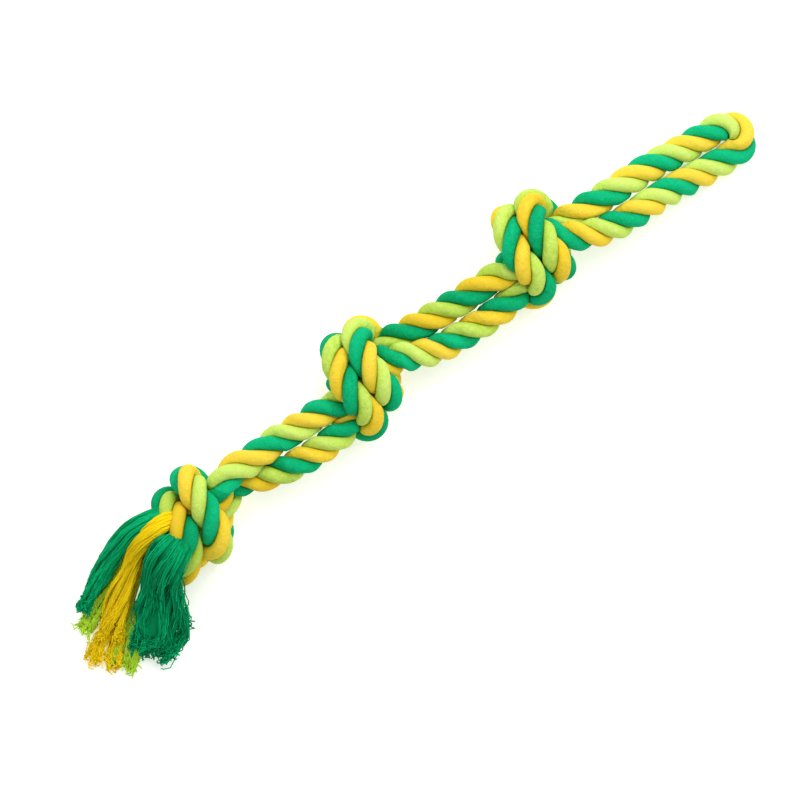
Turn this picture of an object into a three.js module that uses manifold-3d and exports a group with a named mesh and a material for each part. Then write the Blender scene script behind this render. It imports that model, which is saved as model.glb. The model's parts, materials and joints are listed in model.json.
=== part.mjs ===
// A rope dog toy: one three-strand cotton rope, doubled, tied in three overhand knots.
// The bight of the doubled rope is the handle, and the six strand ends are frayed to a tassel.
// Millimetres, +X towards the handle, +Z up, the toy lying on the plane Z = 0.
import * as THREE from 'three';
import Module from 'manifold-3d';
import { mergeVertices } from 'three/addons/utils/BufferGeometryUtils.js';

const wasm = await Module();
wasm.setup();

// The rope
const ropeDiameter = 23;
const layPitch = 46;
const legPress = 2.4;
const legSpacing = ropeDiameter - legPress;
const strandGap = 0.35;
const ringStep = 6.6;
const outerPoints = 6;
const routeStep = 1.5;

// The ground point under the middle of the toy, which is the part's origin
const originX = 183.314;
const originY = -12.495;

// The knots, and how the line midway between the two legs sways across the toy: along, across
const tailKnotX = -4;
const middleKnotX = 156.5;
const topKnotX = 307;
const sway = [
  [-60, -7],
  [-10, -7],
  [24, -5],
  [38, 3],
  [50, 2.5],
  [60, -1],
  [80, -4.8],
  [100, -7.7],
  [125, -8],
  [145, -6],
  [172, 0],
  [188, 2],
  [200, -1.5],
  [210, -4.3],
  [230, -8],
  [255, -10],
  [282, -10],
  [300, -8],
  [320, -6],
  [335, -8],
  [347, -11.5],
  [365, -15],
  [385, -17],
  [402, -18.5],
  [420, -21],
  [438, -24.2],
  [455, -26.5],
  [470, -28],
  [490, -29],
];
const knotRowUnit = 18.8;
const knotPassSpacing = 16;
const knotPassGap = 0.8;
const fanDirections = 48;
const tiny = 1e-6;
const innerBendShare = 0.85;
const pressPower = 10;
const floorCut = 2.5;

// The hinges that stand for the places where the doubled rope bends most easily
const foldFromKnot = 46.5;
const swingFromKnot = 52;
const foldLimitDeg = 45;
const swingLimitDeg = 28;
const hingeGap = 0.2;
const hingeSpareDeg = 1;
const tailEndFromKnot = 35.5;
const endRounds = 24;
const endPull = 0.6;

// The handle
const handleSwingReach = 92;
const handleRoute = [
  [385, 37],
  [402, 30.5],
  [420, 22.5],
  [438, 15.5],
  [454, 12],
  [466, 11],
];
const bightSteps = 9;

// The tassel: a bunch of yarn from each strand end. Each row of a bunch holds its middle, along
// from the rope's end, across from the tassel's line and up from the ground, its half width and its
// half depth.
const tasselLength = 80;
const tasselLineY = 1.2;
const bunchGap = 0.4;
const bunchRings = 8;
const bunchSides = 10;
const bunches = [
  {
    name: 'tassel_green_left_bunch',
    colour: 'green',
    rowShares: [
      [0, 0.22, 0.606, 0.07, 0.07],
      [-0.185, 0.21, 0.5, 0.085, 0.07],
      [-0.4, 0.148, 0.35, 0.08, 0.065],
      [-0.61, 0.064, 0.24, 0.06, 0.055],
      [-0.81, -0.049, 0.16, 0.035, 0.04],
    ],
  },
  {
    name: 'tassel_yellow_top_bunch',
    colour: 'yellow',
    rowShares: [
      [0, 0.08, 0.61, 0.062, 0.07],
      [-0.12, 0.046, 0.54, 0.075, 0.07],
      [-0.32, -0.07, 0.4, 0.1, 0.07],
      [-0.55, -0.21, 0.265, 0.125, 0.065],
      [-0.77, -0.38, 0.175, 0.11, 0.05],
    ],
  },
  {
    name: 'tassel_green_right_bunch',
    colour: 'green',
    rowShares: [
      [0, -0.15, 0.59, 0.12, 0.075],
      [-0.13, -0.25, 0.52, 0.15, 0.085],
      [-0.28, -0.43, 0.37, 0.195, 0.085],
      [-0.44, -0.6, 0.25, 0.21, 0.08],
      [-0.57, -0.74, 0.155, 0.15, 0.06],
    ],
  },
  {
    name: 'tassel_lime_left_bunch',
    colour: 'lime',
    rowShares: [
      [0, 0.16, 0.45, 0.07, 0.065],
      [-0.16, 0.145, 0.32, 0.08, 0.06],
      [-0.32, 0.045, 0.19, 0.08, 0.055],
      [-0.555, -0.045, 0.085, 0.08, 0.05],
      [-0.76, -0.13, 0.048, 0.075, 0.045],
      [-0.92, -0.18, 0.041, 0.05, 0.04],
    ],
  },
  {
    name: 'tassel_yellow_under_bunch',
    colour: 'yellow',
    rowShares: [
      [0, 0, 0.42, 0.07, 0.065],
      [-0.22, -0.065, 0.25, 0.08, 0.06],
      [-0.535, -0.235, 0.09, 0.09, 0.05],
      [-0.76, -0.35, 0.048, 0.12, 0.045],
      [-0.935, -0.47, 0.041, 0.12, 0.04],
    ],
  },
  {
    name: 'tassel_lime_right_bunch',
    colour: 'lime',
    rowShares: [
      [0, -0.17, 0.42, 0.07, 0.065],
      [-0.22, -0.315, 0.22, 0.09, 0.06],
      [-0.51, -0.465, 0.085, 0.11, 0.05],
      [-0.72, -0.61, 0.048, 0.12, 0.045],
      [-0.86, -0.7, 0.041, 0.11, 0.04],
    ],
  },
];

// Where the green strand lies on top, measured from the nearest knot's middle towards the handle
const greenTops = {
  handle: { upper: 107.3, lower: 105.8 },
  upperLink: { upper: 92.7, lower: 65.4 },
  lowerLink: { upper: 82.6, lower: 85.9 },
};
// The same on the front of each knot, measured across the toy: tail, middle, top
const bellyGreenTops = [
  { first: -15.5, second: -9.5 },
  { first: 0.5, second: 20.7 },
  { first: 8, second: 20.5 },
];

// The colours of the three strands, and the order in which they lie round the rope
const strands = [
  { name: 'green', turnShare: 0, material: { color: 0x05a169, roughness: 0.95, metalness: 0 } },
  { name: 'lime', turnShare: -1 / 3, material: { color: 0xb9dc50, roughness: 0.95, metalness: 0 } },
  { name: 'yellow', turnShare: -2 / 3, material: { color: 0xf3c02c, roughness: 0.95, metalness: 0 } },
];

// The doubled rope's route through a knot, from the handle side to the tail side. Each row holds the
// middle of the pair and the direction from one rope to the other, in row units.
const knotRouteShares = [
  [3.2, 0, 0, 0, -1, 0],
  [2.4, 0, 0.1, 0, -1, 0.1],
  [1.55, 0.05, 0.2, 0, -0.9, 0.4],
  [0.95, 0.25, 0.1, 0, -0.3, 0.9],
  [0.45, 0.55, -0.2, 0, 0.4, 0.9],
  [0.1, 0.55, -0.8, -0.2, 0.6, 0.9],
  [-0.3, 0.05, -1.2, -0.6, 0.5, 0.6],
  [-0.4, -0.65, -1.05, -0.9, 0.5, -0.1],
  [-0.15, -1.15, -0.4, -1, 0.1, -0.2],
  [0.05, -1.15, 0.45, -1, 0, 0],
  [-0.05, -0.6, 1.2, -1, 0.1, 0],
  [-0.2, 0.15, 1.35, -1, 0.1, 0],
  [-0.15, 0.95, 1.25, -1, 0.3, 0.1],
  [0.25, 1.65, 0.75, -1, 0.5, 0.2],
  [0.7, 1.8, -0.2, -1, 0.3, -0.5],
  [0.75, 1.15, -0.95, -0.9, 0.5, -0.3],
  [0.4, 0.3, -1.2, -0.6, 0.5, 0.6],
  [0, -0.4, -0.9, -0.2, 0.5, 0.9],
  [-0.45, -0.45, -0.2, 0, 0.7, 0.7],
  [-0.9, -0.2, 0.15, 0, 0.9, 0.5],
  [-1.5, 0, 0.25, 0, 1, 0.1],
  [-2.4, 0, 0.1, 0, 1, 0],
  [-3.2, 0, 0, 0, 1, 0],
];
// The doubled rope rolls half over as it leaves the knot at the tail, so that one leg hides the other
const rolledRowShares = [
  [4.6, 0, 0, 0, -1, 0],
  [2.4, 0, 0.1, 0, -0.3, -1],
  [1.55, 0.05, 0.2, 0, 0, -1],
];
const tailKnotRouteShares = [
  ...rolledRowShares,
  ...knotRouteShares.slice(rolledRowShares.length).map((row) => (
    row.map((value, column) => (column < 3 ? value : -value))
  )),
];
// How far each knot lies off the legs' line, how much longer it is to the right and narrower below,
// and how far its front turns bow to the right, where bulkShare is half the knot's length
const bulkShare = 1.7;
const plainShape = { bow: 0, open: 0, drop: 0, sink: 0 };
const tailShape = { lift: -0.2, skew: 0.9, narrow: 0.2, bow: 0.55, open: 0.1, drop: 0.2, sink: 0.04 };
const middleShape = { ...plainShape, lift: 0.02, skew: 0.5, narrow: 0.25 };
const topShape = { ...plainShape, lift: 0, skew: 0.6, narrow: 0.3 };
const leftTurnEndShare = 0.8;
const tailKnotLeanShare = 0.28;
const tailKnotTiltShare = 0.25;
const endRings = 3;
const lineSmoothing = 3;
const nodesPerKnot = 90;
const settleRounds = 60;
const settlePull = 0.35;
const pushRounds = 4;
const nearShare = 1.55;

// Short vector sums on plain arrays
const plus = (a, b, share = 1) => [a[0] + b[0] * share, a[1] + b[1] * share, a[2] + b[2] * share];
const minus = (a, b) => plus(a, b, -1);
const dot = (a, b) => a[0] * b[0] + a[1] * b[1] + a[2] * b[2];
const times = (a, share) => [a[0] * share, a[1] * share, a[2] * share];
const size = (a) => Math.sqrt(dot(a, a));
const unit = (a) => times(a, 1 / size(a));
const cross = (a, b) => [
  a[1] * b[2] - a[2] * b[1],
  a[2] * b[0] - a[0] * b[2],
  a[0] * b[1] - a[1] * b[0],
];
const radians = (degrees) => degrees * THREE.MathUtils.DEG2RAD;

// Curves through hand-chosen rows
function smoothThrough(rows, count) {
  const marks = [0];
  for (let i = 1; i < rows.length; i += 1) {
    marks.push(marks[i - 1] + Math.sqrt(size(minus(rows[i], rows[i - 1]))));
  }
  const last = rows.length - 1;
  const slope = (i, j) => rows[j].map((value, c) => (value - rows[i][c]) / (marks[j] - marks[i]));
  const slopes = rows.map((row, i) => {
    if (i === 0) return slope(0, 1);
    if (i === last) return slope(last - 1, last);
    const before = slope(i - 1, i);
    const after = slope(i, i + 1);
    const share = (marks[i] - marks[i - 1]) / (marks[i + 1] - marks[i - 1]);
    return before.map((value, c) => value * (1 - share) + after[c] * share);
  });
  const result = [];
  let k = 0;
  for (let n = 0; n < count; n += 1) {
    const at = (marks[last] * n) / (count - 1);
    while (k < last - 1 && at > marks[k + 1]) k += 1;
    const span = marks[k + 1] - marks[k];
    const f = (at - marks[k]) / span;
    const lead = f * f * (3 - 2 * f);
    result.push(rows[k].map((value, c) => value * (1 - lead) + rows[k + 1][c] * lead
      + span * f * (1 - f) * (slopes[k][c] * (1 - f) - slopes[k + 1][c] * f)));
  }
  return result;
}

function lengthsAlong(points) {
  const lengths = [0];
  for (let i = 1; i < points.length; i += 1) {
    lengths.push(lengths[i - 1] + size(minus(points[i], points[i - 1])));
  }
  return lengths;
}

function evenly(points, count) {
  const lengths = lengthsAlong(points);
  const total = lengths[lengths.length - 1];
  const result = [];
  let k = 0;
  for (let n = 0; n < count; n += 1) {
    const at = (total * n) / (count - 1);
    while (k < points.length - 2 && at > lengths[k + 1]) k += 1;
    const f = (at - lengths[k]) / (lengths[k + 1] - lengths[k]);
    result.push(points[k].map((value, c) => value * (1 - f) + points[k + 1][c] * f));
  }
  return result;
}

// The two ropes of a knot, drawn tight until their passes lie against each other
const knotPassShare = knotPassSpacing / knotRowUnit;
function settledPair(rows, leanShare, tiltShare) {
  const fine = smoothThrough(rows, nodesPerKnot * pushRounds);
  const halfOffset = legSpacing / knotRowUnit / 2;
  const pair = [1, -1].map((side) => fine.map((row, i) => {
    const ahead = fine[Math.min(i + 1, fine.length - 1)];
    const behind = fine[Math.max(i - 1, 0)];
    const along = unit(minus(ahead, behind));
    const offset = [row[3], row[4], row[5]];
    const across = unit(plus(offset, along, -dot(offset, along)));
    const bulk = Math.max(0, 1 - (row[0] / rows[0][0]) ** 2);
    const leaning = [
      row[0] + leanShare * bulk * Math.min(row[1], 0),
      row[1] - tiltShare * Math.min(row[0], 0),
      row[2],
    ];
    return plus(leaning, across, side * halfOffset);
  }));
  let ropes = pair.map((rope) => evenly(rope, nodesPerKnot));
  for (let round = 0; round < settleRounds; round += 1) {
    ropes = ropes.map((rope) => rope.map((node, i) => {
      if (i === 0 || i === rope.length - 1) return node;
      const middle = times(plus(rope[i - 1], rope[i + 1]), 1 / 2);
      return plus(node, minus(middle, node), settlePull);
    }));
    const span = lengthsAlong(ropes[0])[nodesPerKnot - 1] / (nodesPerKnot - 1);
    const nearNodes = (nearShare * knotPassShare) / span;
    for (let push = 0; push < pushRounds; push += 1) ropes = pushedApart(ropes, nearNodes);
    ropes = ropes.map((rope) => evenly(rope, nodesPerKnot));
  }
  return ropes;
}

function pushedApart(ropes, nearNodes) {
  const nodes = ropes.flat();
  const moves = nodes.map(() => [0, 0, 0]);
  const touches = nodes.map(() => 0);
  for (let i = 0; i < nodes.length; i += 1) {
    for (let j = i + 1; j < nodes.length; j += 1) {
      const sameRope = (i < nodesPerKnot) === (j < nodesPerKnot);
      if (sameRope && j - i < nearNodes) continue;
      const apart = minus(nodes[i], nodes[j]);
      const distance = size(apart);
      if (distance >= knotPassShare) continue;
      const share = (knotPassShare - distance) / distance;
      moves[i] = plus(moves[i], apart, share);
      moves[j] = plus(moves[j], apart, -share);
      touches[i] += 1;
      touches[j] += 1;
    }
  }
  const moved = nodes.map((node, i) => {
    const end = i % nodesPerKnot === 0 || i % nodesPerKnot === nodesPerKnot - 1;
    return end || touches[i] === 0 ? node : plus(node, moves[i], 1 / 2 / Math.sqrt(touches[i]));
  });
  return [moved.slice(0, nodesPerKnot), moved.slice(nodesPerKnot)];
}

// A knot with its shape's lift, skew, narrowing and bow, its left turn opened and dropped,
// and its underside sunk
function shaped(pair, { lift, skew, narrow, bow, open, drop, sink }) {
  return pair.map((rope) => rope.map(([x, y, z]) => {
    const bulk = Math.max(0, 1 - (x / bulkShare) ** 2);
    const left = Math.min(x - leftTurnEndShare, 0) * Math.max(y, 0);
    return [
      x * (1 + narrow * bulk * Math.min(y, 0)) + bulk * (bow * Math.max(z, 0) + open * left),
      y + bulk * (lift + skew * x * Math.tanh(y) + drop * left),
      z + bulk * sink * Math.min(z, 0),
    ];
  }));
}

const straightPair = settledPair(knotRouteShares, 0, 0);
const leaningPair = settledPair(tailKnotRouteShares, tailKnotLeanShare, tailKnotTiltShare);
const tailPair = shaped(leaningPair, tailShape);
const middlePair = shaped(straightPair, middleShape);
const topPair = shaped(straightPair, topShape);
const lowestShare = Math.min(...straightPair.flat().map((node) => node[2]));
const legsLineZ = ropeDiameter / 2 - lowestShare * knotRowUnit - floorCut;

// The same points moved across the toy by the sway of the legs' line
const swayCurve = smoothThrough(sway.map((point) => [...point, 0]), sway.length * bightSteps);
function swayed(points) {
  const last = swayCurve.length - 1;
  return points.map(([x, y, z]) => {
    const after = swayCurve.findIndex((point) => point[0] > x);
    const k = after < 0 ? last : Math.max(1, after);
    const [before, next] = [swayCurve[k - 1], swayCurve[k]];
    const share = Math.min(Math.max((x - before[0]) / (next[0] - before[0]), 0), 1);
    return [x, y + before[1] * (1 - share) + next[1] * share, z];
  });
}

// The whole rope's middle line: tail end, first leg, bight, second leg, tail end
function placed(pair, knotX, which) {
  return pair[which].map((node) => plus([knotX, 0, legsLineZ], node, knotRowUnit));
}

// The line midway between the handle's two legs, before its sway
function handleLine(count) {
  const start = [topKnotX + knotRouteShares[0][0] * knotRowUnit, 0, legsLineZ];
  return smoothThrough([start, ...handleRoute.map(([x, z]) => [x, 0, z])], count);
}

function handleLeg(side) {
  const middle = handleLine(handleRoute.length * bightSteps);
  return middle.map((point) => plus(point, [0, 1, 0], (side * legSpacing) / 2));
}

function bight(upperEnd, lowerEnd) {
  const middle = times(plus(upperEnd, lowerEnd), 1 / 2);
  const toUpper = minus(upperEnd, middle);
  const ahead = times(unit(cross(toUpper, [0, 0, 1])), size(toUpper));
  const points = [];
  for (let i = 1; i < bightSteps; i += 1) {
    const angle = (Math.PI * i) / bightSteps;
    points.push(plus(plus(middle, toUpper, Math.cos(angle)), ahead, Math.sin(angle)));
  }
  return points;
}

function wholeRope() {
  const upperHandle = handleLeg(1);
  const lowerHandle = handleLeg(-1);
  const upperEnd = upperHandle[upperHandle.length - 1];
  const lowerEnd = lowerHandle[lowerHandle.length - 1];
  const fromUpper = 1;
  const fromLower = 0;
  const firstLeg = [
    ...placed(tailPair, tailKnotX, fromUpper).reverse(),
    ...placed(middlePair, middleKnotX, fromLower).reverse(),
    ...placed(topPair, topKnotX, fromUpper).reverse(),
    ...upperHandle.slice(1),
  ];
  const secondLeg = [
    ...lowerHandle.slice(1).reverse(),
    ...placed(topPair, topKnotX, fromLower),
    ...placed(middlePair, middleKnotX, fromUpper),
    ...placed(tailPair, tailKnotX, fromLower),
  ];
  const rough = swayed([...firstLeg, ...bight(upperEnd, lowerEnd), ...secondLeg]);
  const lengths = lengthsAlong(rough);
  const count = Math.round(lengths[lengths.length - 1] / routeStep);
  let line = evenly(rough, count);
  for (let round = 0; round < lineSmoothing; round += 1) {
    line = line.map((point, i) => {
      if (i === 0 || i === line.length - 1) return point;
      return times(plus(plus(line[i - 1], line[i + 1]), point, 2), 1 / 4);
    });
  }
  return evenly(line, count);
}

const line = wholeRope();
const lineLength = lengthsAlong(line)[line.length - 1];
const lineStep = lineLength / (line.length - 1);
const halfway = Math.floor(line.length / 2);

// Directions along the line, and a frame carried along it without turning about it
const alongs = line.map((_, i) => unit(minus(
  line[Math.min(i + 1, line.length - 1)],
  line[Math.max(i - 1, 0)],
)));
const sides = [];
alongs.forEach((along, i) => {
  const from = i === 0 ? [0, 1, 0] : sides[i - 1];
  sides.push(unit(plus(from, along, -dot(from, along))));
});
const rises = alongs.map((along, i) => cross(along, sides[i]));

function outwards(i, angle) {
  return plus(times(sides[i], Math.cos(angle)), rises[i], Math.sin(angle));
}

// How far the rope may reach at each point of its line, in directions all round the line: half way
// to the next pass of rope, and never past the inside of its own bend
function roomFans() {
  const nearSteps = Math.round((nearShare * ropeDiameter) / lineStep);
  const last = line.length - 1;
  return line.map((point, i) => {
    const others = [];
    line.forEach((other, j) => {
      const away = minus(other, point);
      if (Math.abs(i - j) > nearSteps && size(away) < 2 * ropeDiameter) others.push(away);
    });
    const turn = minus(alongs[Math.min(i + 1, last)], alongs[Math.max(i - 1, 0)]);
    const rooms = [];
    for (let k = 0; k < fanDirections; k += 1) {
      const out = outwards(i, (2 * Math.PI * k) / fanDirections);
      let room = ropeDiameter;
      others.forEach((away) => {
        const facing = Math.max(dot(out, away) / size(away), tiny);
        room = Math.min(room, (size(away) - knotPassGap) / 2 / facing);
      });
      const inward = Math.max(dot(out, turn) / 2 / lineStep, tiny);
      rooms.push(Math.min(room, innerBendShare / inward));
    }
    return rooms;
  });
}

// The lay: the green strand's angle about the line, held to where the strand is seen on top
function stationNear(from, to, wanted) {
  let best = from;
  for (let i = from; i <= to; i += 1) if (wanted(line[i]) < wanted(line[best])) best = i;
  return best;
}

function topAngle(i) {
  return Math.atan2(rises[i][2], sides[i][2]);
}

function turnMarks() {
  const end = line.length - 1;
  const marks = [];
  const addStretch = (knotX, tops) => {
    const onFirst = knotX === middleKnotX ? tops.lower : tops.upper;
    const onSecond = knotX === middleKnotX ? tops.upper : tops.lower;
    const free = (point) => (Math.abs(point[2] - legsLineZ) < legSpacing ? 0 : lineLength);
    marks.push(stationNear(0, halfway, (p) => Math.abs(p[0] - knotX - onFirst) + free(p)));
    marks.push(stationNear(halfway, end, (p) => Math.abs(p[0] - knotX - onSecond) + free(p)));
  };
  addStretch(topKnotX, greenTops.handle);
  addStretch(middleKnotX, greenTops.upperLink);
  addStretch(tailKnotX, greenTops.lowerLink);
  [tailKnotX, middleKnotX, topKnotX].forEach((knotX, k) => {
    const front = legsLineZ + (knotRowUnit + knotPassSpacing) / 2;
    const offKnot = (p) => (Math.abs(p[0] - knotX) < foldFromKnot && p[2] > front ? 0 : lineLength);
    const { first, second } = bellyGreenTops[k];
    marks.push(stationNear(0, halfway, (p) => Math.abs(p[1] - first) + offKnot(p)));
    marks.push(stationNear(halfway, end, (p) => Math.abs(p[1] - second) + offKnot(p)));
  });
  return marks.sort((a, b) => a - b);
}

function layAngles() {
  const marks = turnMarks();
  const natural = (2 * Math.PI * lineStep) / layPitch;
  const angles = [topAngle(marks[0])];
  for (let m = 1; m < marks.length; m += 1) {
    const expected = angles[m - 1] + natural * (marks[m] - marks[m - 1]);
    const turns = Math.round((expected - topAngle(marks[m])) / (2 * Math.PI));
    angles.push(topAngle(marks[m]) + 2 * Math.PI * turns);
  }
  const last = marks.length - 1;
  let m = 0;
  return line.map((_, i) => {
    if (i <= marks[0]) return angles[0] + natural * (i - marks[0]);
    if (i >= marks[last]) return angles[last] + natural * (i - marks[last]);
    while (m < last - 1 && i > marks[m + 1]) m += 1;
    const share = (i - marks[m]) / (marks[m + 1] - marks[m]);
    return angles[m] * (1 - share) + angles[m + 1] * share;
  });
}

const fans = roomFans();
const lay = layAngles();

// A point of a strand: at a station of the line, at a place in the strand's section
const strandReach = ropeDiameter / 2;
const strandCentre = strandReach / (1 + Math.sin(Math.PI / 3));
const strandRadius = strandReach - strandCentre;
const sectionHalfAngle = Math.PI / 3 - strandGap / strandCentre;
const section = [{ angle: 0, radius: strandGap }];
for (let k = 0; k < outerPoints; k += 1) {
  const angle = sectionHalfAngle * ((2 * k) / (outerPoints - 1) - 1);
  const across = Math.min(strandCentre * Math.sin(Math.abs(angle)), strandRadius);
  const beyond = Math.sqrt(strandRadius ** 2 - across ** 2);
  section.push({ angle, radius: strandCentre * Math.cos(angle) + beyond });
}

function between(list, station) {
  const i = Math.min(Math.max(Math.floor(station), 0), list.length - 2);
  const share = station - i;
  if (typeof list[0] === 'number') return list[i] * (1 - share) + list[i + 1] * share;
  return plus(times(list[i], 1 - share), list[i + 1], share);
}

// The room at a station between whole ones, in a direction between the fan's
function roomAt(station, angle) {
  const i = Math.min(Math.max(Math.floor(station), 0), line.length - 2);
  const turns = angle / (2 * Math.PI);
  const place = (turns - Math.floor(turns)) * fanDirections;
  const k = Math.floor(place) % fanDirections;
  const after = (k + 1) % fanDirections;
  const share = place - Math.floor(place);
  const inFan = (fan) => fan[k] * (1 - share) + fan[after] * share;
  return inFan(fans[i]) * (1 - station + i) + inFan(fans[i + 1]) * (station - i);
}

function strandPoint(station, turnShare, place) {
  const angle = between(lay, station) + 2 * Math.PI * turnShare + place.angle;
  const room = roomAt(station, angle);
  const radius = place.radius / (1 + (place.radius / room) ** pressPower) ** (1 / pressPower);
  const out = plus(
    times(between(sides, station), Math.cos(angle)),
    between(rises, station),
    Math.sin(angle),
  );
  return plus(between(line, station), out, radius);
}

// A hinge across the two legs: its place, the direction towards the handle, and its axis
function hingeAt(point, ahead, kind) {
  const side = unit(cross([0, 0, 1], ahead));
  const up = cross(ahead, side);
  const fold = kind === 'fold';
  return {
    point,
    ahead,
    axis: fold ? side : up,
    off: fold ? up : side,
    limitDeg: fold ? foldLimitDeg : swingLimitDeg,
  };
}

const onLegsLine = (x) => swayed([[x, 0, legsLineZ]])[0];

// The point midway between the two legs where both pass a place along the toy
function betweenLegs(x) {
  const near = [[0, halfway], [halfway, line.length - 1]].map(([from, to]) => {
    const offLine = (p) => Math.abs(p[0] - x) + Math.max(0, size(minus(p, onLegsLine(x))) - legSpacing);
    return line[stationNear(from, to, offLine)];
  });
  const middle = times(plus(near[0], near[1]), 1 / 2);
  return [x, middle[1], middle[2]];
}
const alongToy = [1, 0, 0];
const handleMiddle = swayed(handleLine(line.length));
const handleHingeStation = handleMiddle.findIndex((p) => p[0] > topKnotX + handleSwingReach);
const handleHingeAhead = unit(minus(
  handleMiddle[handleHingeStation + 1],
  handleMiddle[handleHingeStation - 1],
));
const hinges = {
  tailSwing: hingeAt(betweenLegs(tailKnotX + swingFromKnot), alongToy, 'swing'),
  lowerFold: hingeAt(betweenLegs(middleKnotX - foldFromKnot), alongToy, 'fold'),
  upperFold: hingeAt(betweenLegs(middleKnotX + foldFromKnot), alongToy, 'fold'),
  topSwing: hingeAt(betweenLegs(topKnotX - swingFromKnot), alongToy, 'swing'),
  handleFold: hingeAt(betweenLegs(topKnotX + foldFromKnot), alongToy, 'fold'),
  handleSwing: hingeAt(handleMiddle[handleHingeStation], handleHingeAhead, 'swing'),
};
const tailEndPoint = betweenLegs(tailKnotX - tailEndFromKnot);
const tailEnd = { ...hingeAt(tailEndPoint, alongToy, 'fold'), limitDeg: -2 * hingeSpareDeg };

// The station where a leg, the first or the second, passes a hinge
function crossing(hinge, leg) {
  const [from, to] = leg === 0 ? [0, halfway] : [halfway, line.length - 1];
  const reach = legSpacing + ropeDiameter;
  for (let i = from; i < to; i += 1) {
    const here = dot(minus(line[i], hinge.point), hinge.ahead);
    const next = dot(minus(line[i + 1], hinge.point), hinge.ahead);
    if (here * next <= 0 && size(minus(line[i], hinge.point)) < reach) return i + here / (here - next);
  }
  throw new Error('a leg misses its hinge');
}

// Where a strand's edge ends at a hinge: two roofs whose ridges meet on the hinge's axis
function endStation({ hinge, leg, handleSide }, turnShare, place) {
  const slope = Math.tan(radians(hinge.limitDeg / 2 + hingeSpareDeg));
  const inward = handleSide ? 1 : -1;
  let station = crossing(hinge, leg);
  const towardsHandle = leg === 0 ? 1 : -1;
  for (let round = 0; round < endRounds; round += 1) {
    const from = minus(strandPoint(station, turnShare, place), hinge.point);
    const wanted = inward * (hingeGap / 2 + slope * Math.abs(dot(from, hinge.off)));
    station += (endPull * towardsHandle * (wanted - dot(from, hinge.ahead))) / lineStep;
  }
  return station;
}

function closedTube(rings) {
  const positions = rings.flat(2);
  const sidesCount = rings[0].length;
  const triangles = [];
  for (let r = 0; r < rings.length - 1; r += 1) {
    for (let k = 0; k < sidesCount; k += 1) {
      const a = r * sidesCount + k;
      const b = r * sidesCount + ((k + 1) % sidesCount);
      triangles.push(a, b, b + sidesCount, a, b + sidesCount, a + sidesCount);
    }
  }
  [0, rings.length - 1].forEach((r, end) => {
    const centre = positions.length / 3;
    positions.push(...times(rings[r].reduce((sum, point) => plus(sum, point), [0, 0, 0]), 1 / sidesCount));
    for (let k = 0; k < sidesCount; k += 1) {
      const a = r * sidesCount + k;
      const b = r * sidesCount + ((k + 1) % sidesCount);
      triangles.push(...(end === 0 ? [centre, b, a] : [centre, a, b]));
    }
  });
  return faced(positions, triangles);
}

// The same triangles with their faces pointing out
function faced(positions, triangles) {
  let volume = 0;
  const corner = (index) => positions.slice(3 * index, 3 * index + 3);
  for (let i = 0; i < triangles.length; i += 3) {
    volume += dot(corner(triangles[i]), cross(corner(triangles[i + 1]), corner(triangles[i + 2])));
  }
  const ordered = volume > 0 ? triangles : triangles.slice().reverse();
  const geometry = new THREE.BufferGeometry();
  geometry.setAttribute('position', new THREE.Float32BufferAttribute(positions, 3));
  geometry.setIndex(ordered);
  return geometry;
}

// A stretch of one strand between two ends on the line
function strandBetween(turnShare, start, finish) {
  const starts = section.map((place) => endStation(start, turnShare, place));
  const ends = section.map((place) => endStation(finish, turnShare, place));
  const first = crossing(start.hinge, start.leg);
  const last = crossing(finish.hinge, finish.leg);
  const count = Math.max(2, Math.round(((last - first) * lineStep) / ringStep));
  const rings = [];
  for (let r = 0; r <= count; r += 1) {
    const share = r / count;
    const fromStart = Math.max(0, 1 - r / endRings);
    const fromEnd = Math.max(0, 1 - (count - r) / endRings);
    rings.push(section.map((place, k) => {
      const even = first * (1 - share) + last * share;
      const station = even + (starts[k] - first) * fromStart + (ends[k] - last) * fromEnd;
      return strandPoint(station, turnShare, place);
    }));
  }
  return closedTube(rings);
}

// The flat that a knot has where it lies on the ground
function solidOf(geometry) {
  const bare = new THREE.BufferGeometry();
  bare.setAttribute('position', geometry.getAttribute('position'));
  bare.setIndex(geometry.getIndex());
  const merged = mergeVertices(bare);
  return new wasm.Manifold(new wasm.Mesh({
    numProp: 3,
    vertProperties: new Float32Array(merged.getAttribute('position').array),
    triVerts: new Uint32Array(merged.getIndex().array),
  }));
}

function flattened(geometry) {
  geometry.computeBoundingBox();
  if (geometry.boundingBox.min.z >= 0) return geometry;
  const ground = new THREE.BoxGeometry(lineLength, lineLength, lineLength);
  ground.translate(0, 0, -lineLength / 2);
  ground.deleteAttribute('normal');
  ground.deleteAttribute('uv');
  const cut = solidOf(geometry).subtract(solidOf(ground)).getMesh();
  const result = new THREE.BufferGeometry();
  result.setAttribute('position', new THREE.BufferAttribute(cut.vertProperties, 3));
  result.setIndex(new THREE.BufferAttribute(cut.triVerts, 1));
  return result;
}

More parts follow.
